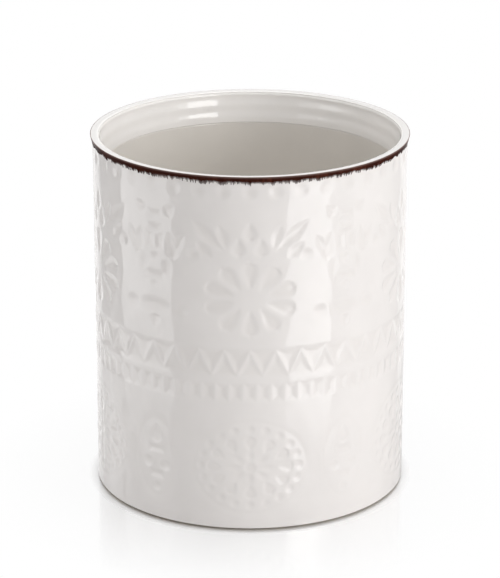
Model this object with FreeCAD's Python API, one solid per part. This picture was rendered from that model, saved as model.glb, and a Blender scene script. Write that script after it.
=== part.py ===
"""Round stoneware utensil crock: a glazed pot with stamped folk ornament and a brown brushed rim.
Millimetres, +Z up, origin on the counter under the middle of the pot, front towards -Y."""
import FreeCAD, Part
import math
import os

# Pot
overall_height = 183.0        # counter to the top of the lip
wall_radius = 79.0            # outside of the glazed wall
wall_thickness = 3.5          # glazed wall, outside to inside
lip_flare = 1.0               # how far the lip leans out past the wall
lip_height = 3.8              # height of the leaning lip, which the brown band covers
lip_inner_bevel = 1.2         # eased inner edge of the mouth
collar_step = 0.5             # how far the doubled glaze inside the mouth stands in from the wall
collar_height = 16.0
floor_thickness = 7.0
floor_cove = 5.0              # eased corner between the floor and the inside of the wall

# Foot
foot_height = 1.0             # bare stoneware between the counter and the edge of the glaze
foot_setback = 2.6            # how far the foot stands in from the edge of the glaze
foot_width = 9.0              # ring that the pot stands on
recess_depth = 2.0

# Coats
glaze_thickness = 0.7
liner_thickness = 0.4

# Stamped ornament
glaze_left = 0.25             # glaze left under a stamped mark
overrun = 0.05                # how far a stamp reaches out past the wall
repeat_count = 5
bead_count = 39
bead_size = 4.8
bead_drop = 7.8               # from the top of the lip to the middle of the bead row
tooth_count = 39
tooth_stroke = 2.2            # raised zigzag line between the stamped triangles
zigzag_height = 12.5
dash_count = 72
dash_length = 6.6
dash_width = 3.2
petal_count = 10
petal_width = 6.4
drop_count = 8
drop_width = 5.6
mark_length = 10.0            # the tables of marks below give shares of these two
mark_width = 5.0

# Middle of each band, as a share of the overall height
zigzag_share = 0.482
dash_share = 0.399
daisy_share = 0.661
medallion_share = 0.195

# Half width as a share of the repeat's width, half height as a share of the overall height
daisy_outer_shares = (0.232, 0.103)
daisy_inner_shares = (0.092, 0.038)
medallion_outer_shares = (0.225, 0.104)
medallion_inner_shares = (0.100, 0.044)

# Marks: shares across the repeat, up the pot, of the length and of the width; then the turn in degrees
spray_drop_shares = (
    (0.000, 0.847, 0.80, 1.20, 90),
    (0.056, 0.803, 0.80, 1.20, 90),
)
spray_leaf_shares = (
    (0.212, 0.822, 2.10, 1.10, 43),
)
bouquet_drop_shares = (
    (0.100, 0.792, 1.30, 1.40, 100),
    (0.000, 0.612, 1.10, 3.00, -90),
)
bouquet_dash_shares = (
    (0.000, 0.873, 0.70, 0.60, 0),
    (0.000, 0.834, 0.70, 0.60, 0),
    (0.000, 0.707, 1.10, 0.66, 0),
)
bud_drop_shares = (
    (0.000, 0.251, 1.10, 1.40, 90),
)
bud_dash_shares = (
    (0.000, 0.184, 0.90, 0.60, 0),
)

# Derived sizes
impression_depth = glaze_thickness - glaze_left
inner_radius = wall_radius - wall_thickness
mouth_radius = inner_radius - collar_step
lip_radius = wall_radius + lip_flare
lip_bottom = overall_height - lip_height
collar_bottom = overall_height - collar_height
body_radius = wall_radius - glaze_thickness
body_lip_radius = lip_radius - glaze_thickness
body_inner_radius = inner_radius + liner_thickness
body_lip_height = overall_height - liner_thickness
body_floor = floor_thickness - liner_thickness
foot_radius = body_radius - foot_setback
recess_radius = foot_radius - foot_width
repeat_width = 2 * math.pi * wall_radius / repeat_count

centre = FreeCAD.Vector(0, 0, 0)
up = FreeCAD.Vector(0, 0, 1)
toward_front = FreeCAD.Vector(0, -1, 0)


def turned(outline):
    """Solid turned about the pot's axis from the radius and height of each corner."""
    corners = [FreeCAD.Vector(radius, 0, height) for radius, height in outline]
    face = Part.Face(Part.makePolygon(corners + corners[:1]))
    return face.revolve(centre, up, 360)


def crock_body():
    """Fired stoneware: recessed foot ring, wall, leaning lip and floor."""
    return turned([
        (0, recess_depth),
        (recess_radius, recess_depth),
        (recess_radius, 0),
        (foot_radius, 0),
        (body_radius, foot_height),
        (body_radius, lip_bottom),
        (body_lip_radius, overall_height),
        (body_inner_radius, body_lip_height),
        (body_inner_radius, body_floor),
        (0, body_floor),
    ])


def liner_glaze():
    """White glaze on the floor and wall, doubled inside the mouth and thinning out over the lip."""
    return turned([
        (body_lip_radius, overall_height),
        (mouth_radius + lip_inner_bevel, overall_height),
        (mouth_radius, overall_height - lip_inner_bevel),
        (mouth_radius, collar_bottom),
        (inner_radius, collar_bottom),
        (inner_radius, floor_thickness + floor_cove),
        (inner_radius - floor_cove, floor_thickness),
        (0, floor_thickness),
        (0, body_floor),
        (body_inner_radius, body_floor),
        (body_inner_radius, body_lip_height),
    ])


def rim_band():
    """Brown glaze brushed round the outside of the leaning lip."""
    return turned([
        (body_radius, lip_bottom),
        (wall_radius, lip_bottom),
        (lip_radius, overall_height),
        (body_lip_radius, overall_height),
    ])


def plain_coat():
    return turned([
        (body_radius, foot_height),
        (wall_radius, foot_height),
        (wall_radius, lip_bottom),
        (body_radius, lip_bottom),
    ])


def stamp(outline):
    """Straight-sided stamp at the front of the pot, reaching down to the depth of the marks."""
    face_distance = wall_radius + overrun
    corners = [FreeCAD.Vector(across, -face_distance, height) for across, height in outline]
    face = Part.Face(Part.makePolygon(corners + corners[:1]))
    return face.extrude(-toward_front * (overrun + impression_depth))


def dash_stamp(length, width):
    tip = length / 2
    side = width / 2
    return stamp([(-tip, -side), (tip, -side), (tip, side), (-tip, side)])


def drop_stamp(length, width):
    """Pointed at the far end, as a teardrop is."""
    tip = length / 2
    side = width / 2
    return stamp([(-tip, -side), (tip, 0), (-tip, side)])


def leaf_stamp(length, width):
    tip = length / 2
    side = width / 2
    return stamp([(-tip, 0), (0, -side), (tip, 0), (0, side)])


def placed(tool, across, height, turn=0):
    """Copy of a stamp, turned on its own middle, moved up the pot and round the wall."""
    copy = tool.copy()
    copy.rotate(centre, toward_front, turn)
    copy.translate(up * height)
    copy.rotate(centre, up, math.degrees(across / wall_radius))
    return copy


def around(tools, count):
    """Copies of the stamps at even turns round the pot."""
    copies = []
    for index in range(count):
        for tool in tools:
            copy = tool.copy()
            copy.rotate(centre, up, 360 * index / count)
            copies.append(copy)
    return copies


def bead_row():
    bead = dash_stamp(bead_size, bead_size)
    return around([placed(bead, 0, overall_height - bead_drop)], bead_count)


def dash_row():
    dash = dash_stamp(dash_width, dash_length)
    return around([placed(dash, 0, dash_share * overall_height)], dash_count)


def zigzag_band():
    """Triangles stamped point up and point down in turn, which leave a raised zigzag between them."""
    half_tooth = math.pi * wall_radius / tooth_count
    slope = math.atan2(zigzag_height, half_tooth)
    margin = tooth_stroke / 2 / math.sin(slope)
    rise = zigzag_height - margin * math.tan(slope)
    base = 2 * (half_tooth - margin)
    middle = zigzag_share * overall_height
    shift = (zigzag_height - rise) / 2
    triangle = drop_stamp(rise, base)
    point_up = placed(triangle, 0, middle - shift, 90)
    point_down = placed(triangle, half_tooth, middle + shift, -90)
    return around([point_up, point_down], tooth_count)


def flower(outer_shares, inner_shares, width, count, height_share):
    """Ring of stamped petals between two ovals, each pointed towards the middle."""
    marks = []
    for index in range(count):
        angle = 2 * math.pi * index / count + math.pi / 2
        tip_across = inner_shares[0] * repeat_width * math.cos(angle)
        tip_height = inner_shares[1] * overall_height * math.sin(angle)
        end_across = outer_shares[0] * repeat_width * math.cos(angle)
        end_height = outer_shares[1] * overall_height * math.sin(angle)
        run = tip_across - end_across
        rise = tip_height - end_height
        petal = drop_stamp(math.hypot(run, rise), width)
        across = (tip_across + end_across) / 2
        height = height_share * overall_height + (tip_height + end_height) / 2
        marks.append(placed(petal, across, height, math.degrees(math.atan2(rise, run))))
    return marks


def table_marks(make_stamp, table, middle):
    """Marks from a table of shares, each one off the middle with a mirrored twin."""
    marks = []
    for across, height, length, width, turn in table:
        tool = make_stamp(length * mark_length, width * mark_width)
        offset = across * repeat_width
        marks.append(placed(tool, middle + offset, height * overall_height, turn))
        if across > 0:
            marks.append(placed(tool, middle - offset, height * overall_height, 180 - turn))
    return marks


def repeat_marks():
    """Daisy, sprays and medallion at the front of a repeat, bouquet and bud between two repeats."""
    between = repeat_width / 2
    marks = flower(daisy_outer_shares, daisy_inner_shares, petal_width, petal_count, daisy_share)
    marks += flower(medallion_outer_shares, medallion_inner_shares, drop_width, drop_count, medallion_share)
    marks += table_marks(drop_stamp, spray_drop_shares, 0)
    marks += table_marks(leaf_stamp, spray_leaf_shares, 0)
    marks += table_marks(drop_stamp, bouquet_drop_shares, between)
    marks += table_marks(dash_stamp, bouquet_dash_shares, between)
    marks += table_marks(drop_stamp, bud_drop_shares, between)
    marks += table_marks(dash_stamp, bud_dash_shares, between)
    return marks


def outer_glaze():
    """Cream coat with all the stamped marks."""
    stamps = bead_row() + dash_row() + zigzag_band() + around(repeat_marks(), repeat_count)
    return plain_coat().cut(stamps)


os.makedirs("parts", exist_ok=True)
for make in (crock_body, outer_glaze, liner_glaze, rim_band):
    make().exportStep("parts/" + make.__name__ + ".step")
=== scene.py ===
"""Utensil crock: cream wall with stamped folk ornament, white liner, brushed brown rim and bare foot."""
import math

import bmesh
import bpy
import numpy as np
from bpy.props import FloatProperty, FloatVectorProperty, IntProperty, PointerProperty
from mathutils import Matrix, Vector


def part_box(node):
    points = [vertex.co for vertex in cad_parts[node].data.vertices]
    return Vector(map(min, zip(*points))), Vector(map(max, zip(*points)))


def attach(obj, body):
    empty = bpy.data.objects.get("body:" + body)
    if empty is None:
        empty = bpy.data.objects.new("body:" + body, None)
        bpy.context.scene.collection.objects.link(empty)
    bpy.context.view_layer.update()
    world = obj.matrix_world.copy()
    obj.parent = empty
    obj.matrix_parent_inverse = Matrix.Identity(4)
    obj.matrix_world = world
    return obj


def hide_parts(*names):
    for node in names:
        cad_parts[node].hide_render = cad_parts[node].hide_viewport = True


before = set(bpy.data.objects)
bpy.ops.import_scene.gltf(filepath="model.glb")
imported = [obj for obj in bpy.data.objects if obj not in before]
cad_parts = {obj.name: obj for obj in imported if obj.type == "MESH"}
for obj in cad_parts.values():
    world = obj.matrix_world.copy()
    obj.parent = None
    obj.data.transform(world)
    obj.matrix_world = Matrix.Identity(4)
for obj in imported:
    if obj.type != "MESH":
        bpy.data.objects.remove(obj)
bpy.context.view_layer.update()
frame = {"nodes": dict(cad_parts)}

bl_info = {
    "name": "Utensil crock",
    "version": (1, 0, 0),
    "blender": (4, 5, 0),
    "location": "3D View > Sidebar > Crock",
    "description": "Dresses the packed utensil crock with its glazes, stamped ornament and studio stage",
    "category": "Object",
}

MM = 0.001
COAT_LOW, COAT_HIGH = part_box("outer_glaze")
RIM_LOW, RIM_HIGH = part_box("rim_band")
LINER_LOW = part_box("liner_glaze")[0]

# Meshes: how close points are one, how far off its radius a point is still the wall's, steps round the pot
SAME_POINT = 0.001 * MM
ON_WALL = 0.1 * MM
LINER_STEPS = 256
BODY_STEPS = 192
BEVEL_SEGMENTS = 6
SHARP_ANGLE = math.radians(50)

# Stamped marks: shape, across from the middle of the motif and up from the counter, length, width (all in
# millimetres) and turn in degrees. A mark that lies off the middle has a mirrored twin.
SPRAY_MARKS = (
    ("drop", 0.0, 155.0, 7.5, 5.2, 90),
    ("drop", 5.5, 147.0, 7.5, 5.2, 90),
    ("leaf", 13.3, 152.5, 9.5, 4.0, 72),
    ("leaf", 21.0, 153.0, 18.0, 5.0, 43),
    ("leaf", 22.5, 145.3, 9.0, 4.6, 43),
    ("oval", 28.0, 142.5, 4.5, 4.5, 0),
    ("leaf", 36.0, 146.0, 11.0, 3.6, 120),
)
BOUQUET_MARKS = (
    ("drop", 8.5, 163.0, 5.0, 4.0, 40),
    ("dash", 0.0, 160.0, 6.0, 2.8, 0),
    ("dash", 0.0, 152.7, 6.0, 3.0, 0),
    ("dash", 3.0, 146.5, 7.0, 2.8, 90),
    ("drop", 10.0, 145.0, 12.0, 6.4, 100),
    ("oval", 0.0, 138.0, 3.6, 3.6, 0),
    ("oval", 7.0, 133.6, 5.5, 3.0, 90),
    ("dash", 0.0, 129.0, 10.0, 3.2, 0),
    ("oval", 0.0, 124.5, 3.0, 3.0, 0),
    ("oval", 0.0, 113.0, 15.0, 7.0, 0),
    ("oval", 14.5, 112.5, 6.0, 5.0, 0),
    ("drop", 0.0, 106.0, 5.0, 4.5, -90),
)
BUD_MARKS = (
    ("drop", 0.0, 46.0, 9.0, 5.5, 90),
    ("dash", 0.0, 38.0, 8.0, 2.6, 0),
    ("oval", 5.3, 30.0, 4.4, 4.4, 0),
    ("dash", 0.0, 24.5, 7.0, 2.6, 0),
    ("oval", 0.0, 17.5, 4.0, 3.6, 0),
)

# Rings of marks: shape, count, half width and half height of the ring at its inside and outside, mark's width
DAISY_HEIGHT = 121.0
DAISY_RINGS = (("petal", 10, (9.6, 7.0), (23.0, 18.7), 5.8),)
MEDALLION_HEIGHT = 33.5
MEDALLION_RINGS = (
    ("oval", 20, (23.4, 18.6), (26.4, 21.8), 3.2),
    ("petal", 12, (15.0, 9.6), (21.6, 16.2), 4.6),
    ("oval", 8, (5.4, 4.0), (11.0, 7.8), 2.6),
)
MEDALLION_MIDDLE = 5.0
MEDALLION_FRAME = (28.5, 24.2)
BUD_FRAME_HEIGHT = 33.5
BUD_FRAME = (11.5, 20.5)

# How full petals and drops are at their widest, and the share of the softness in medallions and buds
PETAL_FULLNESS = 1.75
DROP_FULLNESS = 2.6
FINE_SOFTNESS = 0.7

# Ripples of the glaze: waves round the pot, waves from foot to lip, phase
RIPPLES = ((11, 2.3, 0.4), (17, -3.1, 2.0), (26, 4.7, 4.1), (31, -6.2, 1.2), (41, 5.3, 5.2))

# Collar: corners and phase of its soft rings, where the wall starts to swell below it (in collar heights) and
# where it ends below the lip (in lip roundings)
COLLAR_CORNERS = 15
COLLAR_PHASE = 0.7
COLLAR_FOOT = 1.6
COLLAR_END = 1.3

# Brush hairs: steps to a hair, shares of the longest hair in the shortest and in the gaps, and the slow waves
# of the drift: waves round the pot, share
HAIR_STEPS = 3
SHORTEST_HAIR = 0.35
HAIR_GAP = 0.12
DRIFT_WAVES = ((3, 0.3), (7, 0.3), (17, 0.25), (41, 0.15))

# Where the cream ends behind the band, below the lip's top in heights of the solid band
COAT_BEHIND_BAND = 0.7

# Part of a noise's range that is used
CLOUDING = (0.35, 0.65)
FINE_NOISE = (0.3, 0.7)
STREAKS = (0.42, 0.68)
PATCHES = (0.40, 0.70)
DRY_BRUSH = (0.54, 0.64)
SPECKS = (0.70, 0.76)

# Gloss of the glazes and the clay
GLAZE_ROUGHNESS = (0.02, 0.05)
GLAZE_IOR = 1.5
BROWN_ROUGHNESS = (0.15, 0.28)
BROWN_IOR = 1.05
CLAY_ROUGHNESS = (0.7, 0.9)

# Heights over which the glazes change: below the collar's edge, and below the lip's top, where the lip's
# painted shade sets in
COLLAR_FADE = 0.8 * MM
LIP_SHADE_FADE = (0.5 * MM, 0.1 * MM)
WORN_EDGE = 1.0 * MM
WORN_SHARE = 0.9

# Counter, with the place beside the pot where its glow begins, in wall radii
FLOOR_SIZE = 4
FLOOR_TONE = (0.8, 0.8, 0.8, 1)
FLOOR_ROUGHNESS = 0.5
MIRROR_ROUGHNESS = 0.12
BESIDE = 1.06
WHITE = (1, 1, 1, 1)

# Backdrop that the eye and gloss see: part of a ray's direction over which the room turns white
BACKDROP_UP = (0.14, 0.31)
BACKDROP_BACK = (0.72, 0.82)
BACKDROP_DOWN = (-0.42, -0.32)

# Lamps in metres and degrees: what softboxes, low cards and window cards share, and layers of a faded card
SOFTBOX = {"distance": 1.45, "height": 0.49, "width": 0.9, "length": 0.8, "tilt": 75}
LOW_CARD = {"distance": 1.1, "height": -1.31, "length": 2.0}
WINDOW = {"distance": 1.05, "height": 0.36, "length": 0.36}
CARD_DISTANCE = 1.1
CARD_LAYER = 0.002
CARD_TOP = 0.55
RIGHT_CARD_ENDS = (-0.335, -0.365, -0.40)
LEFT_CARD_ENDS = (-0.262, -0.335, -0.40, -0.60)


class CrockSizes(bpy.types.PropertyGroup):
    """Sizes of the pot that the dressing follows."""
    wall_radius: FloatProperty(
        name="Wall radius", description="Outside of the glazed wall", default=COAT_HIGH[0], unit='LENGTH')
    height: FloatProperty(
        name="Height", description="Counter to the top of the lip", default=RIM_HIGH[2], unit='LENGTH')
    lip_radius: FloatProperty(
        name="Lip radius", description="Outside of the leaning lip", default=RIM_HIGH[0], unit='LENGTH')
    lip_bottom: FloatProperty(
        name="Lip bottom", description="Where the lip begins to lean out", default=RIM_LOW[2], unit='LENGTH')
    foot_height: FloatProperty(
        name="Foot height", description="Lower edge of the glaze", default=COAT_LOW[2], unit='LENGTH')
    foot_setback: FloatProperty(
        name="Foot setback", description="Bare foot in from the glaze", default=2.6 * MM, unit='LENGTH')
    foot_width: FloatProperty(
        name="Foot width", description="Ring that the pot stands on", default=9 * MM, unit='LENGTH')
    recess_depth: FloatProperty(
        name="Recess depth", description="Hollow inside the foot ring", default=2 * MM, unit='LENGTH')
    coat: FloatProperty(
        name="Coat", description="Thickness of the cream glaze", default=0.7 * MM, unit='LENGTH')
    liner: FloatProperty(
        name="Liner", description="Thickness of the white glaze", default=0.4 * MM, unit='LENGTH')
    wall: FloatProperty(
        name="Wall", description="Glazed wall, outside to inside", default=3.5 * MM, unit='LENGTH')
    body_floor: FloatProperty(
        name="Body floor", description="Top of the fired floor", default=LINER_LOW[2], unit='LENGTH')
    collar_step: FloatProperty(
        name="Collar step", description="Doubled glaze at the collar's lower edge",
        default=2.2 * MM, unit='LENGTH')
    collar_height: FloatProperty(
        name="Collar height", description="Depth of the doubled glaze", default=16 * MM, unit='LENGTH')
    collar_ring: FloatProperty(
        name="Collar ring", description="Height of a soft ring in the collar",
        default=6.1 * MM, unit='LENGTH')
    collar_swell: FloatProperty(
        name="Collar swell", description="How far the soft rings swell", default=0.065 * MM, unit='LENGTH')
    groove_depth: FloatProperty(
        name="Groove depth", description="Line under the collar", default=0.35 * MM, unit='LENGTH')
    lip_rounding: FloatProperty(
        name="Lip rounding", description="Inner edge of the mouth", default=2.0 * MM, unit='LENGTH')
    edge_rounding: FloatProperty(
        name="Edge rounding", description="Edges of the glaze", default=0.5 * MM, unit='LENGTH')
    floor_rounding: FloatProperty(
        name="Floor rounding", description="Corner of floor and wall inside", default=7 * MM, unit='LENGTH')


class CrockOrnament(bpy.types.PropertyGroup):
    """The stamped ornament on the outer wall."""
    depth: FloatProperty(
        name="Depth", description="Depth of a stamped mark", default=0.55 * MM, unit='LENGTH')
    softness: FloatProperty(
        name="Softness", description="Width of a mark's sloping edge", default=4.2 * MM, unit='LENGTH')
    medallion: FloatProperty(
        name="Medallion", description="Share of the depth in the worn medallions and buds",
        default=0.62, subtype='FACTOR')
    ripple: FloatProperty(
        name="Ripple", description="Unevenness of the glazed wall", default=0.18 * MM, unit='LENGTH')
    frame: FloatProperty(
        name="Frame", description="Share of the depth in the worn oval frames",
        default=0.3, subtype='FACTOR')
    repeats: IntProperty(name="Repeats", description="Daisies round the pot", default=5)
    beads: IntProperty(name="Beads", description="Dimples under the lip", default=39)
    bead_size: FloatProperty(
        name="Bead size", description="Width of a dimple", default=5.0 * MM, unit='LENGTH')
    bead_drop: FloatProperty(
        name="Bead drop", description="Lip to the middle of the dimples", default=8.0 * MM, unit='LENGTH')
    teeth: IntProperty(name="Teeth", description="Points of the zigzag", default=39)
    zigzag_low: FloatProperty(
        name="Zigzag low", description="Lower edge of the zigzag", default=82.0 * MM, unit='LENGTH')
    zigzag_high: FloatProperty(
        name="Zigzag high", description="Upper edge of the zigzag", default=94.5 * MM, unit='LENGTH')
    stroke: FloatProperty(
        name="Stroke", description="Width of the raised zigzag line", default=2.2 * MM, unit='LENGTH')
    dashes: IntProperty(name="Dashes", description="Upright dashes in a row", default=72)
    dash_height: FloatProperty(
        name="Dash height", description="Middle of the row of dashes", default=73.0 * MM, unit='LENGTH')
    dash_length: FloatProperty(
        name="Dash length", description="Length of a dash", default=6.6 * MM, unit='LENGTH')
    dash_width: FloatProperty(
        name="Dash width", description="Width of a dash", default=3.3 * MM, unit='LENGTH')
    groove: FloatProperty(
        name="Groove", description="Width of the oval frames", default=1.7 * MM, unit='LENGTH')
    cell: FloatProperty(
        name="Cell", description="Spacing of the wall's rows and columns before they are divided",
        default=3.2 * MM, unit='LENGTH')
    divisions: IntProperty(name="Divisions", description="Cuts across each cell", default=4)


class CrockRim(bpy.types.PropertyGroup):
    """The brushed brown band."""
    hairs: IntProperty(name="Hairs", description="Brush hairs round the band", default=800)
    solid: FloatProperty(
        name="Solid", description="Height of the band above its brush hairs", default=1.8 * MM, unit='LENGTH')
    hair: FloatProperty(
        name="Hair", description="Longest brush hair", default=2.7 * MM, unit='LENGTH')
    drift: FloatProperty(
        name="Drift", description="Slow rise and fall of the band's lower edge",
        default=1.0 * MM, unit='LENGTH')
    white_edge: FloatProperty(
        name="White edge", description="White glaze short of the lip's outer edge",
        default=0.3 * MM, unit='LENGTH')
    proud: FloatProperty(
        name="Proud", description="Thickness of the brown over the cream", default=0.04 * MM, unit='LENGTH')
    seed: IntProperty(name="Seed", description="Pattern of the streaks", default=11)


class CrockColours(bpy.types.PropertyGroup):
    """Glaze and clay colours."""
    cream: FloatVectorProperty(
        name="Cream", description="Outer glaze", subtype='COLOR', size=4, default=(0.80, 0.767, 0.747, 1))
    cream_pool: FloatVectorProperty(
        name="Cream pool", description="Glaze lying thick in a mark", subtype='COLOR', size=4,
        default=(0.785, 0.750, 0.727, 1))
    # White: partly the doubled glaze's tone and partly painted light, the light that the tilted collar
    # catches
    white: FloatVectorProperty(
        name="White", description="Doubled glaze of the collar", subtype='COLOR', size=4,
        default=(0.86, 0.836, 0.812, 1))
    # Lip: painted shade, a darker white on the lip's top that tones down the light falling on it from above
    lip: FloatVectorProperty(
        name="Lip", description="White glaze drawn thin over the lip", subtype='COLOR', size=4,
        default=(0.73, 0.712, 0.695, 1))
    # Ivory: partly the single glaze's tone and partly painted shade of the deep inside below the collar
    ivory_and_shade: FloatVectorProperty(
        name="Ivory", description="Single liner glaze below the collar", subtype='COLOR', size=4,
        default=(0.79, 0.757, 0.712, 1))
    brown: FloatVectorProperty(
        name="Brown", description="Rim glaze", subtype='COLOR', size=4, default=(0.034, 0.010, 0.0065, 1))
    russet: FloatVectorProperty(
        name="Russet", description="Thin rim glaze", subtype='COLOR', size=4, default=(0.10, 0.030, 0.018, 1))
    dry_brown: FloatVectorProperty(
        name="Dry brown", description="Rim glaze in the hairs of a dry brush", subtype='COLOR', size=4,
        default=(0.20, 0.13, 0.115, 1))
    clay: FloatVectorProperty(
        name="Clay", description="Bare stoneware", subtype='COLOR', size=4, default=(0.50, 0.42, 0.32, 1))
    clay_speck: FloatVectorProperty(
        name="Clay speck", description="Iron specks", subtype='COLOR', size=4, default=(0.20, 0.13, 0.08, 1))


class CrockStage(bpy.types.PropertyGroup):
    """Camera and studio."""
    camera_back: FloatProperty(
        name="Camera back", description="Camera in front of the pot", default=1.341, unit='LENGTH')
    camera_up: FloatProperty(
        name="Camera up", description="Camera above the counter", default=0.5672, unit='LENGTH')
    camera_pitch: FloatProperty(
        name="Camera pitch", description="Camera's look down", default=math.radians(19.24), subtype='ANGLE')
    lens: FloatProperty(name="Lens", description="Focal length in millimetres", default=173.3)
    daylight: FloatProperty(name="Daylight", description="Even light all round", default=0.475)
    room: FloatProperty(
        name="Room", description="What gloss shows of the room round the pot", default=0.34)
    top_light: FloatProperty(name="Top light", description="Glow of the softbox overhead", default=4.1)
    key_light: FloatProperty(
        name="Key light", description="Glow of the softbox at the right", default=4.5)
    front_light: FloatProperty(
        name="Front light", description="Glow of the softbox by the camera", default=0.9)
    rear_light: FloatProperty(
        name="Rear light", description="Glow of the softbox behind at the left", default=1.2)
    right_card: FloatProperty(
        name="Right card", description="Glow of the card mirrored at the right", default=2.3)
    left_card: FloatProperty(
        name="Left card", description="Glow of the card mirrored at the left", default=2.2)
    back_card: FloatProperty(
        name="Back card", description="Glow of the card mirrored at the left edge", default=0.36)
    side_card: FloatProperty(
        name="Side card", description="Glow of each card beside the back card", default=0.3)
    dim_card: FloatProperty(name="Dim card", description="Glow above the back card", default=0.28)
    window_card: FloatProperty(
        name="Window card", description="Glow of the card mirrored in the collar", default=4.2)
    left_window: FloatProperty(
        name="Left window", description="Glow of the card mirrored at the collar's right", default=1.6)
    floor_glow: FloatProperty(
        name="Floor glow", description="Share of white in the floor beside the pot",
        default=0.86, subtype='FACTOR')
    floor_mirror: FloatProperty(
        name="Floor mirror", description="How much the floor mirrors beside the pot",
        default=0.4, subtype='FACTOR')
    shade_reach: FloatProperty(
        name="Shade reach", description="Where the floor is all white", default=0.145, unit='LENGTH')


def link_piece(mesh, name, slot, material, *nodes):
    """Object for a finished mesh, riding with the pot in place of CAD nodes."""
    mesh.materials.append(material)
    mesh.shade_smooth()
    mesh.set_sharp_from_angle(angle=SHARP_ANGLE)
    piece = bpy.data.objects.new(name, mesh)
    bpy.context.collection.objects.link(piece)
    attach(piece, "root")
    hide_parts(*nodes)
    return piece


def turned(corners, steps, wall=0, rows=1):
    """Bmesh spun about the pot's axis from corners of radius, height and rounding.
    Its upright stretch at the wall's radius is divided into rows."""
    shape = bmesh.new()
    verts = [shape.verts.new((radius, 0, height)) for radius, height, _ in corners]
    for index, vert in enumerate(verts):
        shape.edges.new((vert, verts[(index + 1) % len(verts)]))
    for vert, (_, _, rounding) in zip(verts, corners):
        if rounding:
            bmesh.ops.bevel(shape, geom=[vert], offset=rounding, offset_type='OFFSET',
                            segments=BEVEL_SEGMENTS, profile=0.5, affect='VERTICES', material=-1)
    if rows > 1:
        stretch = [edge for edge in shape.edges
                   if all(abs(vert.co.x - wall) < SAME_POINT for vert in edge.verts)]
        bmesh.ops.subdivide_edges(shape, edges=stretch, cuts=rows - 1)
    bmesh.ops.spin(shape, geom=shape.verts[:] + shape.edges[:], cent=(0, 0, 0), axis=(0, 0, 1),
                   angle=2 * math.pi, steps=steps, use_merge=True)
    bmesh.ops.remove_doubles(shape, verts=shape.verts[:], dist=SAME_POINT)
    bmesh.ops.recalc_face_normals(shape, faces=shape.faces[:])
    return shape


def finished(shape, name):
    """Mesh of a bmesh that is done."""
    mesh = bpy.data.meshes.new(name)
    shape.to_mesh(mesh)
    shape.free()
    return mesh


def mark_inside(shape, along, aside, half_length, half_width):
    """How far points lie inside a stamped outline, with the mark's own length along its first axis."""
    if shape == "oval":
        return (1 - np.hypot(along / half_length, aside / half_width)) * half_width
    if shape == "dash":
        return np.minimum(half_length - np.abs(along), half_width - np.abs(aside))
    if shape == "leaf":
        return half_width * (1 - (along / half_length) ** 2) - np.abs(aside)
    share = np.clip((along + half_length) / (2 * half_length), 0, 1)
    beyond = np.maximum(np.abs(along) - half_length, 0)
    if shape == "petal":
        outline = PETAL_FULLNESS * half_width * share ** 0.75 * np.sqrt(1 - share ** 3)
    else:
        outline = DROP_FULLNESS * half_width * np.sqrt(share) * (1 - share)
    return outline - np.hypot(aside, beyond)


def sloped(inside, softness):
    """Share of the full depth at a distance inside a mark, eased across the mark's sloping edge."""
    share = np.clip(inside / softness + 0.5, 0, 1)
    return share * share * (3 - 2 * share)


def stamped(shape, across, up, middle, height, length, width, turn, softness):
    """Share of the full depth that one mark reaches at each point."""
    along = (across - middle) * math.cos(turn) + (up - height) * math.sin(turn)
    aside = (up - height) * math.cos(turn) - (across - middle) * math.sin(turn)
    return sloped(mark_inside(shape, along, aside, length / 2, width / 2), softness)


def table_depth(marks, across, up, softness):
    """Deepest of a table's marks, twins included."""
    deepest = np.zeros_like(across)
    for shape, offset, height, length, width, degrees in marks:
        turn = math.radians(degrees)
        sizes = (height * MM, length * MM, width * MM)
        deepest = np.maximum(deepest, stamped(shape, across, up, offset * MM, *sizes, turn, softness))
        if offset:
            twin = stamped(shape, across, up, -offset * MM, *sizes, math.pi - turn, softness)
            deepest = np.maximum(deepest, twin)
    return deepest


def ring_depth(rings, height, across, up, softness):
    """Deepest of the marks that stand in rings round the middle of a flower."""
    deepest = np.zeros_like(across)
    for shape, count, inner, outer, width in rings:
        for index in range(count):
            angle = math.pi / 2 + 2 * math.pi * index / count
            root = Vector((inner[0] * math.cos(angle), inner[1] * math.sin(angle))) * MM
            tip = Vector((outer[0] * math.cos(angle), outer[1] * math.sin(angle))) * MM
            middle = (root + tip) / 2
            turn = math.atan2(tip.y - root.y, tip.x - root.x)
            place = (middle.x, height * MM + middle.y)
            deepest = np.maximum(deepest, stamped(
                shape, across, up, *place, (tip - root).length, width * MM, turn, softness))
    return deepest


def frame_depth(half_sizes, height, groove, across, up, softness):
    """Groove along an oval frame."""
    half_width, half_height = half_sizes[0] * MM, half_sizes[1] * MM
    radius = np.hypot(across / half_width, (up - height * MM) / half_height)
    away = np.abs(radius - 1) * min(half_width, half_height)
    return sloped(groove / 2 - away, softness)


def zigzag_depth(ornament, radius, around, up):
    """Triangles between the raised lines of the zigzag."""
    tooth = 2 * math.pi * radius / ornament.teeth
    rise = ornament.zigzag_high - ornament.zigzag_low
    phase = np.abs((around / tooth + 0.5) % 1 - 0.5) * 2
    line = ornament.zigzag_high - phase * rise
    away = np.abs(up - line) * (tooth / 2) / math.hypot(tooth / 2, rise) - ornament.stroke / 2
    inside = np.minimum(np.minimum(away, up - ornament.zigzag_low), ornament.zigzag_high - up)
    return sloped(inside, ornament.softness)


def row_depth(shape, count, height, length, width, turn, radius, around, up, softness):
    """One mark repeated round the pot."""
    pitch = 2 * math.pi * radius / count
    across = (around / pitch + 0.5) % 1 * pitch - pitch / 2
    return stamped(shape, across, up, 0, height, length, width, turn, softness)


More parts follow.
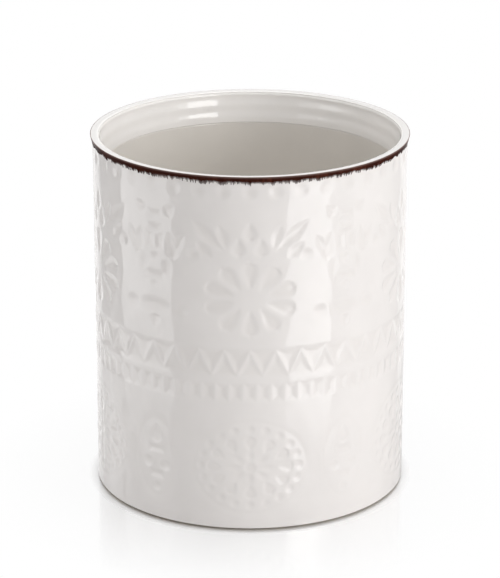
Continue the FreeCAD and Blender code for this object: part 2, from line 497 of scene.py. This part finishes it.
def ornament_depth(sizes, ornament, around, up):
    """Share of the full depth of the ornament at each point of the wall."""
    radius = sizes.wall_radius
    softness = ornament.softness
    repeat = 2 * math.pi * radius / ornament.repeats
    front = (around / repeat + 0.5) % 1 * repeat - repeat / 2
    between = (around / repeat) % 1 * repeat - repeat / 2
    fine = softness * FINE_SOFTNESS
    depths = (
        row_depth("oval", ornament.beads, sizes.height - ornament.bead_drop, ornament.bead_size,
                  ornament.bead_size, 0, radius, around, up, softness),
        row_depth("dash", ornament.dashes, ornament.dash_height, ornament.dash_length, ornament.dash_width,
                  math.pi / 2, radius, around, up, softness),
        zigzag_depth(ornament, radius, around, up),
        table_depth(SPRAY_MARKS, front, up, softness),
        ring_depth(DAISY_RINGS, DAISY_HEIGHT, front, up, softness),
        table_depth(BOUQUET_MARKS, between, up, softness),
        ring_depth(MEDALLION_RINGS, MEDALLION_HEIGHT, front, up, fine) * ornament.medallion,
        stamped("oval", front, up, 0, MEDALLION_HEIGHT * MM, MEDALLION_MIDDLE * MM, MEDALLION_MIDDLE * MM,
                0, fine) * ornament.medallion,
        frame_depth(MEDALLION_FRAME, MEDALLION_HEIGHT, ornament.groove, front, up, softness) * ornament.frame,
        frame_depth(BUD_FRAME, BUD_FRAME_HEIGHT, ornament.groove, between, up, softness) * ornament.frame,
        table_depth(BUD_MARKS, between, up, fine) * ornament.medallion,
    )
    return np.maximum.reduce(depths)


def glaze_ripple(sizes, around, up):
    """Slow unevenness of a dipped glaze, from nought to one, in waves that close round the pot."""
    ripple = np.zeros_like(around)
    for waves, rise, phase in RIPPLES:
        ripple += np.sin(waves * around / sizes.wall_radius + 2 * np.pi * rise * up / sizes.height + phase)
    return 0.5 + ripple / (2 * len(RIPPLES))


def lip_reach(sizes, height):
    """How far the lip leans out past the wall at a height."""
    share = (height - sizes.lip_bottom) / (sizes.height - sizes.lip_bottom)
    return max(0, share) * (sizes.lip_radius - sizes.wall_radius)


def press_ornament(mesh, sizes, ornament):
    """Moves the wall's points in to the depth of the marks, and keeps the depth for the glaze to pool in."""
    points = np.empty(len(mesh.vertices) * 3)
    mesh.vertices.foreach_get("co", points)
    points = points.reshape(-1, 3)
    radius = np.hypot(points[:, 0], points[:, 1])
    on_wall = np.abs(radius - sizes.wall_radius) < ON_WALL
    around = np.arctan2(points[:, 0], -points[:, 1]) * sizes.wall_radius
    depth = np.where(on_wall, ornament_depth(sizes, ornament, around, points[:, 2]), 0)
    ripple = glaze_ripple(sizes, around, points[:, 2]) * ornament.ripple
    pressed = depth * ornament.depth + (1 - depth) * ripple
    wanted = np.where(on_wall, sizes.wall_radius - pressed, radius)
    edge = on_wall & (points[:, 2] < sizes.foot_height + sizes.edge_rounding)
    wanted = np.where(edge, radius, wanted)
    points[:, :2] *= (wanted / np.maximum(radius, MM))[:, None]
    mesh.vertices.foreach_set("co", points.ravel())
    pooled = mesh.attributes.new("pooled", 'FLOAT', 'POINT')
    pooled.data.foreach_set("value", depth.astype(np.float32))
    mesh.update()


def new_material(name):
    """New material and its node tree: an output and one principled shader."""
    material = bpy.data.materials.new(name)
    material.use_nodes = True
    return material, material.node_tree


def noise(tree, scale, detail, stretch=None):
    """Noise in the piece's own coordinates, stretched where a stretch is given."""
    place = tree.nodes.new("ShaderNodeTexCoord")
    texture = tree.nodes.new("ShaderNodeTexNoise")
    texture.inputs["Scale"].default_value = scale
    texture.inputs["Detail"].default_value = detail
    if stretch:
        mapping = tree.nodes.new("ShaderNodeMapping")
        mapping.inputs["Scale"].default_value = stretch
        tree.links.new(place.outputs["Object"], mapping.inputs["Vector"])
        tree.links.new(mapping.outputs["Vector"], texture.inputs["Vector"])
    else:
        tree.links.new(place.outputs["Object"], texture.inputs["Vector"])
    return texture.outputs["Fac"]


def ranged(tree, value, low, high, to_low=0.0, to_high=1.0):
    """A value's range mapped to another, clamped."""
    node = tree.nodes.new("ShaderNodeMapRange")
    node.inputs["From Min"].default_value = low
    node.inputs["From Max"].default_value = high
    node.inputs["To Min"].default_value = to_low
    node.inputs["To Max"].default_value = to_high
    tree.links.new(value, node.inputs["Value"])
    return node.outputs["Result"]


def math_node(tree, operation, first, second):
    """Result of one sum on two outputs."""
    node = tree.nodes.new("ShaderNodeMath")
    node.operation = operation
    tree.links.new(first, node.inputs[0])
    tree.links.new(second, node.inputs[1])
    return node.outputs["Value"]


def blended(tree, factor, first, second):
    """Colour between two, each a fixed colour or another node's output."""
    node = tree.nodes.new("ShaderNodeMix")
    node.data_type = 'RGBA'
    tree.links.new(factor, node.inputs["Factor"])
    for socket, colour in ((node.inputs["A"], first), (node.inputs["B"], second)):
        if isinstance(colour, bpy.types.NodeSocket):
            tree.links.new(colour, socket)
        else:
            socket.default_value = colour
    return node.outputs["Result"]


def bumped(tree, height, distance, strength):
    """Surface normal pushed about by a height."""
    node = tree.nodes.new("ShaderNodeBump")
    node.inputs["Distance"].default_value = distance
    node.inputs["Strength"].default_value = strength
    tree.links.new(height, node.inputs["Height"])
    return node.outputs["Normal"]


def tinted(colour, gain):
    """A colour made lighter or darker."""
    return tuple(min(1.0, channel * gain) for channel in colour[:3]) + (1.0,)


def clouded(tree, cloud, colour, spread):
    """A colour that a cloud makes a little darker and lighter."""
    return blended(tree, cloud, tinted(colour, 1 - spread), tinted(colour, 1 + spread))


def cream_glaze(colours):
    """Glossy cream glaze, a little deeper in tone where it pools in the marks, with a faint orange-peel."""
    material, tree = new_material("cream_glaze")
    shader = tree.nodes["Principled BSDF"]
    pooled = tree.nodes.new("ShaderNodeAttribute")
    pooled.attribute_name = "pooled"
    mottle = ranged(tree, noise(tree, scale=45, detail=3), *CLOUDING)
    field = clouded(tree, mottle, colours.cream, spread=0.015)
    colour = blended(tree, pooled.outputs["Fac"], field, colours.cream_pool)
    sheen = ranged(tree, noise(tree, scale=120, detail=2), *FINE_NOISE, *GLAZE_ROUGHNESS)
    peel = bumped(tree, noise(tree, scale=160, detail=1), distance=0.05 * MM, strength=0.25)
    tree.links.new(colour, shader.inputs["Base Color"])
    tree.links.new(sheen, shader.inputs["Roughness"])
    tree.links.new(peel, shader.inputs["Normal"])
    shader.inputs["IOR"].default_value = GLAZE_IOR
    return material


def white_glaze(colours, collar, lip):
    """Glossy liner with faint clouding, whiter in the collar and darker below it, partly doubled glaze and
    partly painted light and shade, with the lip's top painted darker as shade.
    """
    material, tree = new_material("white_glaze")
    shader = tree.nodes["Principled BSDF"]
    place = tree.nodes.new("ShaderNodeTexCoord")
    level = tree.nodes.new("ShaderNodeSeparateXYZ")
    tree.links.new(place.outputs["Object"], level.inputs["Vector"])
    # Collar lighter and the inside below it darker: partly doubled glaze, partly painted light and shade
    doubled = ranged(tree, level.outputs["Z"], collar - COLLAR_FADE, collar)
    # Painted shade: the lip's top turns darker than the collar's white
    drawn = ranged(tree, level.outputs["Z"], lip - LIP_SHADE_FADE[0], lip - LIP_SHADE_FADE[1])
    cloud = ranged(tree, noise(tree, scale=30, detail=3), *CLOUDING)
    lower_liner_and_shade = clouded(tree, cloud, colours.ivory_and_shade, spread=0.02)
    thick = clouded(tree, cloud, colours.white, spread=0.015)
    thin = clouded(tree, cloud, colours.lip, spread=0.015)
    collar_and_shaded_lip = blended(tree, drawn, thick, thin)
    sheen = ranged(tree, noise(tree, scale=90, detail=2), *FINE_NOISE, *GLAZE_ROUGHNESS)
    waves = bumped(tree, noise(tree, scale=70, detail=1), distance=0.12 * MM, strength=0.2)
    tree.links.new(blended(tree, doubled, lower_liner_and_shade, collar_and_shaded_lip), shader.inputs["Base Color"])
    tree.links.new(sheen, shader.inputs["Roughness"])
    tree.links.new(waves, shader.inputs["Normal"])
    shader.inputs["IOR"].default_value = GLAZE_IOR
    return material


def brown_glaze(colours, hair_tips, hair_roots, lip):
    """Dark iron glaze in upright streaks, russet where thin, pale on the lip's edge and in dry hairs."""
    material, tree = new_material("brown_glaze")
    shader = tree.nodes["Principled BSDF"]
    streak = ranged(tree, noise(tree, scale=1, detail=4, stretch=(1100, 1100, 90)), *STREAKS)
    patch = ranged(tree, noise(tree, scale=1, detail=2, stretch=(90, 90, 60)), *PATCHES)
    thin = math_node(tree, 'MULTIPLY', streak, patch)
    dark = blended(tree, thin, colours.brown, colours.russet)
    split = tree.nodes.new("ShaderNodeSeparateXYZ")
    tree.links.new(tree.nodes.new("ShaderNodeTexCoord").outputs["Object"], split.inputs["Vector"])
    tips = ranged(tree, split.outputs["Z"], hair_tips, hair_roots, 1, 0)
    dry = ranged(tree, noise(tree, scale=1, detail=2, stretch=(38, 38, 20)), *DRY_BRUSH)
    scant = math_node(tree, 'MULTIPLY', tips, dry)
    worn = ranged(tree, split.outputs["Z"], lip - WORN_EDGE, lip, 0, WORN_SHARE)
    pale = math_node(tree, 'MAXIMUM', scant, worn)
    tree.links.new(blended(tree, pale, dark, colours.dry_brown), shader.inputs["Base Color"])
    tree.links.new(ranged(tree, streak, 0, 1, *BROWN_ROUGHNESS), shader.inputs["Roughness"])
    tree.links.new(bumped(tree, streak, distance=0.08 * MM, strength=0.15), shader.inputs["Normal"])
    shader.inputs["IOR"].default_value = BROWN_IOR
    return material


def bare_stoneware(colours):
    """Matt fired clay with iron specks."""
    material, tree = new_material("bare_stoneware")
    shader = tree.nodes["Principled BSDF"]
    tone = ranged(tree, noise(tree, scale=60, detail=5), *FINE_NOISE)
    clay = clouded(tree, tone, colours.clay, spread=0.1)
    speck = ranged(tree, noise(tree, scale=900, detail=1), *SPECKS)
    grain = bumped(tree, noise(tree, scale=1400, detail=3), distance=0.15 * MM, strength=0.5)
    tree.links.new(blended(tree, speck, clay, colours.clay_speck), shader.inputs["Base Color"])
    tree.links.new(ranged(tree, tone, 0, 1, *CLAY_ROUGHNESS), shader.inputs["Roughness"])
    tree.links.new(grain, shader.inputs["Normal"])
    return material


class CROCK_OT_outer_glaze(bpy.types.Operator):
    """Makes the stamped cream wall in three rings: flower field, zigzag band and medallion field"""
    bl_idname = "crock.outer_glaze"
    bl_label = "Outer glaze"

    def execute(self, context):
        crock = context.scene.crock_sizes
        ornament = context.scene.crock_ornament
        material = cream_glaze(context.scene.crock_colours)
        above = (ornament.zigzag_high + DAISY_HEIGHT * MM - DAISY_RINGS[0][3][1] * MM) / 2
        below = (ornament.dash_height - ornament.dash_length / 2
                 + (MEDALLION_HEIGHT + MEDALLION_FRAME[1]) * MM) / 2
        rings = (("medallion_field", crock.foot_height, below), ("zigzag_band", below, above),
                 ("flower_field", above, crock.lip_bottom))
        inner = crock.wall_radius - crock.coat
        steps = round(2 * math.pi * crock.wall_radius / ornament.cell)
        lip = crock.height - context.scene.crock_rim.solid * COAT_BEHIND_BAND
        lean = lip_reach(crock, lip)
        for name, low, high in rings:
            rounding = crock.edge_rounding if low == crock.foot_height else 0
            rows = round((high - low) / ornament.cell)
            top = [(crock.wall_radius, high, 0), (inner, high, 0)]
            if high == crock.lip_bottom:
                top[1:1] = [(crock.wall_radius + lean, lip, 0), (inner + lean, lip, 0)]
            corners = [(crock.wall_radius, low, rounding), *top, (inner, low, 0)]
            shape = turned(corners, steps, crock.wall_radius, rows)
            outside = {face for face in shape.faces
                       if all(abs(vert.co.xy.length - crock.wall_radius) < SAME_POINT for vert in face.verts)}
            edges = list({edge for face in outside for edge in face.edges})
            bmesh.ops.subdivide_edges(shape, edges=edges, cuts=ornament.divisions, use_grid_fill=True)
            bmesh.ops.recalc_face_normals(shape, faces=shape.faces[:])
            mesh = finished(shape, name)
            press_ornament(mesh, crock, ornament)
            link_piece(mesh, name, "cream_glaze", material, "outer_glaze")
        return {'FINISHED'}


class CROCK_OT_liner_glaze(bpy.types.Operator):
    """Makes the white liner: floor, wall, doubled collar and lip"""
    bl_idname = "crock.liner_glaze"
    bl_label = "Liner glaze"

    def execute(self, context):
        crock = context.scene.crock_sizes
        inner = crock.wall_radius - crock.wall
        mouth = inner - crock.collar_step
        collar = crock.height - crock.collar_height
        floor = crock.body_floor + crock.liner
        buried = inner + crock.liner
        edge = crock.lip_radius - context.scene.crock_rim.white_edge
        groove = crock.groove_depth
        shape = turned([
            (0, floor, 0),
            (inner, floor, crock.floor_rounding),
            (inner, collar - COLLAR_FOOT * crock.collar_height, 0),
            (mouth + groove, collar - 4 * groove, 0),
            (mouth + groove, collar - 2 * groove, 0),
            (mouth + 2 * groove, collar - groove, 0),
            *self.collar_corners(crock, mouth, inner, collar),
            (inner, crock.height, crock.lip_rounding),
            (edge, crock.height, 0),
            (buried, crock.height - crock.liner, 0),
            (buried, crock.body_floor, 0),
            (0, crock.body_floor, 0),
        ], LINER_STEPS)
        mesh = finished(shape, "white_liner")
        material = white_glaze(context.scene.crock_colours, collar, crock.height)
        link_piece(mesh, "white_liner", "white_glaze", material, "liner_glaze")
        return {'FINISHED'}

    def collar_corners(self, crock, mouth, inner, collar):
        """The collar from its lower edge to the start of the lip's rounding, opening in soft rings."""
        rise = crock.height - COLLAR_END * crock.lip_rounding - collar
        corners = []
        for share in np.linspace(0, 1, COLLAR_CORNERS):
            ring = share * rise / crock.collar_ring - COLLAR_PHASE
            swell = crock.collar_swell * math.sin(2 * math.pi * ring)
            corners.append((mouth + share * (inner - mouth) + swell, collar + share * rise, 0))
        return corners


class CROCK_OT_rim_band(bpy.types.Operator):
    """Makes the brown band round the lip, with brush hairs along its lower edge"""
    bl_idname = "crock.rim_band"
    bl_label = "Rim band"

    def execute(self, context):
        crock = context.scene.crock_sizes
        rim = context.scene.crock_rim
        low = crock.height - rim.solid
        face = crock.wall_radius + lip_reach(crock, low)
        shape = turned([
            (face - crock.coat / 2, low, 0),
            (face + rim.proud, low, 0),
            (crock.lip_radius, crock.height, rim.white_edge / 2),
            (crock.lip_radius - rim.white_edge, crock.height, 0),
        ], rim.hairs)
        level = [edge for edge in shape.edges
                 if abs(edge.verts[0].co.z - edge.verts[1].co.z) < SAME_POINT
                 and abs(edge.verts[0].co.xy.length - edge.verts[1].co.xy.length) < SAME_POINT]
        bmesh.ops.subdivide_edges(shape, edges=level, cuts=HAIR_STEPS - 1)
        self.draw_hairs(shape, crock, rim)
        mesh = finished(shape, "brown_band")
        material = brown_glaze(context.scene.crock_colours, low - rim.hair, low, crock.height)
        link_piece(mesh, "brown_band", "brown_glaze", material, "rim_band")
        return {'FINISHED'}

    def draw_hairs(self, shape, crock, rim):
        """Draws the lower edge out into hairs of uneven length down the lip, with a gap before each."""
        chance = np.random.default_rng(rim.seed)
        steps = rim.hairs * HAIR_STEPS
        lengths = rim.hair * np.repeat(chance.uniform(SHORTEST_HAIR, 1, rim.hairs), HAIR_STEPS)
        lengths[0::HAIR_STEPS] *= HAIR_GAP
        slow = np.zeros(steps)
        for waves, share in DRIFT_WAVES:
            slow += share * np.sin(2 * np.pi * (np.arange(steps) * waves / steps + chance.random()))
        lengths += slow * rim.drift / 2
        low = crock.height - rim.solid
        for vert in shape.verts:
            if vert.co.z > low + SAME_POINT:
                continue
            step = round(math.atan2(vert.co.y, vert.co.x) / (2 * math.pi) * steps) % steps
            reach = vert.co.xy.length
            height = low - lengths[step]
            vert.co.xy *= (reach - lip_reach(crock, low) + lip_reach(crock, height)) / reach
            vert.co.z = height


class CROCK_OT_stoneware(bpy.types.Operator):
    """Makes the bare stoneware body with its foot ring"""
    bl_idname = "crock.stoneware"
    bl_label = "Stoneware body"

    def execute(self, context):
        crock = context.scene.crock_sizes
        outer = crock.wall_radius - crock.coat
        foot = outer - crock.foot_setback
        recess = foot - crock.foot_width
        inner = crock.wall_radius - crock.wall + crock.liner
        edge = crock.lip_radius - crock.coat
        soft = crock.edge_rounding
        shape = turned([
            (0, crock.recess_depth, 0),
            (recess, crock.recess_depth, soft),
            (recess, 0, soft),
            (foot, 0, soft),
            (outer, crock.foot_height, 0),
            (outer, crock.lip_bottom, 0),
            (edge, crock.height - crock.liner, 0),
            (inner, crock.height - crock.liner, crock.lip_rounding - crock.liner),
            (inner, crock.body_floor, 0),
            (0, crock.body_floor, 0),
        ], BODY_STEPS)
        mesh = finished(shape, "stoneware_body")
        material = bare_stoneware(context.scene.crock_colours)
        link_piece(mesh, "stoneware_body", "stoneware", material, "crock_body")
        return {'FINISHED'}


def softbox(name, glow, azimuth, distance, height, width, length, tilt=90.0):
    """Area lamp that faces the pot from an azimuth, counted from the camera's side towards its right."""
    lamp = bpy.data.lights.new(name, 'AREA')
    lamp.shape = 'RECTANGLE'
    lamp.size = width
    lamp.size_y = length
    lamp.energy = glow * math.pi * width * length
    item = bpy.data.objects.new(name, lamp)
    angle = math.radians(azimuth)
    item.location = (distance * math.sin(angle), -distance * math.cos(angle), height)
    item.rotation_euler = (math.radians(tilt), 0, angle)
    bpy.context.collection.objects.link(item)
    return item


def faded_card(name, glow, azimuth, width, ends):
    """Tall card whose mirrored strip fades out downwards: one layer for each of its lower ends."""
    layers = []
    for index, end in enumerate(ends):
        distance = CARD_DISTANCE + index * CARD_LAYER
        layers.append(softbox("%s_%d" % (name, index + 1), glow / len(ends), azimuth, distance,
                              height=(CARD_TOP + end) / 2, width=width, length=CARD_TOP - end))
    return layers


def seen_rays(tree):
    """One for what the eye, gloss and glass see, nought for the light that falls on things."""
    path = tree.nodes.new("ShaderNodeLightPath")
    seen = math_node(tree, 'MAXIMUM', path.outputs["Is Camera Ray"], path.outputs["Is Glossy Ray"])
    return math_node(tree, 'MAXIMUM', seen, path.outputs["Is Transmission Ray"])


def white_floor(stage, contact):
    """Pale counter that takes the pot's shadow, mirrors it faintly and is white to the eye further off."""
    material, tree = new_material("white_floor")
    shade = tree.nodes["Principled BSDF"]
    shade.inputs["Base Color"].default_value = FLOOR_TONE
    shade.inputs["Roughness"].default_value = FLOOR_ROUGHNESS
    light = tree.nodes.new("ShaderNodeEmission")
    mirror = tree.nodes.new("ShaderNodeBsdfGlossy")
    mirror.inputs["Color"].default_value = WHITE
    mirror.inputs["Roughness"].default_value = MIRROR_ROUGHNESS
    place = tree.nodes.new("ShaderNodeTexCoord")
    away = tree.nodes.new("ShaderNodeVectorMath")
    away.operation = 'LENGTH'
    tree.links.new(place.outputs["Object"], away.inputs[0])
    ramp = tree.nodes.new("ShaderNodeValToRGB")
    tree.links.new(ranged(tree, away.outputs["Value"], 0, stage.shade_reach), ramp.inputs["Fac"])
    ramp.color_ramp.elements[0].position = contact / stage.shade_reach
    beside = ramp.color_ramp.elements.new(BESIDE * contact / stage.shade_reach)
    beside.color = (stage.floor_glow, stage.floor_glow, stage.floor_glow, 1)
    seen = seen_rays(tree)
    lit = tree.nodes.new("ShaderNodeMixShader")
    tree.links.new(math_node(tree, 'MULTIPLY', seen, ramp.outputs["Color"]), lit.inputs["Fac"])
    tree.links.new(shade.outputs["BSDF"], lit.inputs[1])
    tree.links.new(light.outputs["Emission"], lit.inputs[2])
    fade = ranged(tree, away.outputs["Value"], contact, stage.shade_reach, stage.floor_mirror, 0)
    whole = tree.nodes.new("ShaderNodeMixShader")
    tree.links.new(math_node(tree, 'MULTIPLY', seen, fade), whole.inputs["Fac"])
    tree.links.new(lit.outputs["Shader"], whole.inputs[1])
    tree.links.new(mirror.outputs["BSDF"], whole.inputs[2])
    tree.links.new(whole.outputs["Shader"], tree.nodes["Material Output"].inputs["Surface"])
    return material


def studio_world(stage):
    """Even daylight. The eye and gloss see it as a dim room with a white backdrop above and behind the pot,
    which fades out downwards."""
    world = bpy.data.worlds.new("daylight")
    world.use_nodes = True
    tree = world.node_tree
    backdrop = tree.nodes["Background"]
    backdrop.inputs["Color"].default_value = WHITE
    place = tree.nodes.new("ShaderNodeTexCoord")
    level = tree.nodes.new("ShaderNodeSeparateXYZ")
    tree.links.new(place.outputs["Object"], level.inputs["Vector"])
    strength = tree.nodes.new("ShaderNodeMix")
    strength.inputs["A"].default_value = stage.daylight
    tree.links.new(seen_rays(tree), strength.inputs["Factor"])
    above = ranged(tree, level.outputs["Z"], *BACKDROP_UP, stage.room, 1)
    behind = ranged(tree, level.outputs["Y"], *BACKDROP_BACK, stage.room, 1)
    fading = ranged(tree, level.outputs["Z"], *BACKDROP_DOWN, stage.room, 1)
    wall = math_node(tree, 'MINIMUM', behind, fading)
    tree.links.new(math_node(tree, 'MAXIMUM', above, wall), strength.inputs["B"])
    tree.links.new(strength.outputs["Result"], backdrop.inputs["Strength"])
    return world


class CROCK_OT_stage(bpy.types.Operator):
    """Sets the white counter, the softboxes and the camera"""
    bl_idname = "crock.stage"
    bl_label = "Stage"

    def execute(self, context):
        stage = context.scene.crock_stage
        shape = bmesh.new()
        bmesh.ops.create_grid(shape, x_segments=1, y_segments=1, size=FLOOR_SIZE)
        mesh = finished(shape, "counter")
        mesh.materials.append(white_floor(stage, context.scene.crock_sizes.wall_radius))
        counter = bpy.data.objects.new("counter", mesh)
        counter.visible_glossy = False
        context.collection.objects.link(counter)

        self.place_lamps(stage)
        context.scene.world = studio_world(stage)

        camera = bpy.data.cameras.new("camera")
        camera.lens = stage.lens
        eye = bpy.data.objects.new("camera", camera)
        eye.location = (0, -stage.camera_back, stage.camera_up)
        eye.rotation_euler = (math.pi / 2 - stage.camera_pitch, 0, 0)
        context.collection.objects.link(eye)
        context.scene.camera = eye
        context.scene.view_settings.view_transform = 'Standard'
        return {'FINISHED'}

    def place_lamps(self, stage):
        """Softboxes that light the pot, and cards that only its gloss sees."""
        softbox("top_softbox", stage.top_light, azimuth=180, distance=0.1, height=1.3,
                width=0.8, length=0.8, tilt=0)
        softbox("key_softbox", stage.key_light, azimuth=66, **SOFTBOX).visible_glossy = False
        softbox("front_softbox", stage.front_light, azimuth=6, **SOFTBOX).visible_glossy = False
        softbox("rear_softbox", stage.rear_light, azimuth=-125, **SOFTBOX).visible_glossy = False
        cards = (
            *faded_card("right_card", stage.right_card, azimuth=43.3, width=0.65, ends=RIGHT_CARD_ENDS),
            *faded_card("left_card", stage.left_card, azimuth=-81.2, width=0.97, ends=LEFT_CARD_ENDS),
            softbox("back_card", stage.back_card, azimuth=-143.5, width=1.63, **LOW_CARD),
            softbox("side_card_1", stage.side_card, azimuth=-121.5, width=0.57, **LOW_CARD),
            softbox("side_card_2", stage.side_card, azimuth=-113, width=0.59, **LOW_CARD),
            softbox("dim_card", stage.dim_card, azimuth=-134, distance=1.1, height=0.0,
                    width=1.1, length=0.62),
            softbox("window_card", stage.window_card, azimuth=38.5, width=0.47, **WINDOW),
            softbox("left_window", stage.left_window, azimuth=-58, width=0.7, **WINDOW),
        )
        for card in cards:
            card.visible_diffuse = False


class CROCK_PT_sidebar(bpy.types.Panel):
    """Lists the crock's pieces and its settings"""
    bl_idname = "CROCK_PT_sidebar"
    bl_label = "Utensil crock"
    bl_space_type = 'VIEW_3D'
    bl_region_type = 'UI'
    bl_category = "Crock"

    def draw(self, context):
        layout = self.layout
        for operator in OPERATORS:
            layout.operator(operator.bl_idname)
        for name in SETTINGS:
            box = layout.box()
            settings = getattr(context.scene, name)
            for prop in settings.bl_rna.properties:
                if prop.identifier not in {"rna_type", "name"}:
                    box.prop(settings, prop.identifier)


OPERATORS = (
    CROCK_OT_stoneware,
    CROCK_OT_liner_glaze,
    CROCK_OT_outer_glaze,
    CROCK_OT_rim_band,
    CROCK_OT_stage,
)
SETTINGS = {
    "crock_sizes": CrockSizes,
    "crock_ornament": CrockOrnament,
    "crock_rim": CrockRim,
    "crock_colours": CrockColours,
    "crock_stage": CrockStage,
}


def register():
    for cls in (*SETTINGS.values(), *OPERATORS, CROCK_PT_sidebar):
        bpy.utils.register_class(cls)
    for name, cls in SETTINGS.items():
        setattr(bpy.types.Scene, name, PointerProperty(type=cls))


def unregister():
    for name in SETTINGS:
        delattr(bpy.types.Scene, name)
    for cls in (CROCK_PT_sidebar, *reversed(OPERATORS), *reversed(SETTINGS.values())):
        bpy.utils.unregister_class(cls)


def main():
    register()
    bpy.ops.crock.stoneware()
    bpy.ops.crock.liner_glaze()
    bpy.ops.crock.outer_glaze()
    bpy.ops.crock.rim_band()
    bpy.ops.crock.stage()


if __name__ == "__main__":
    main()
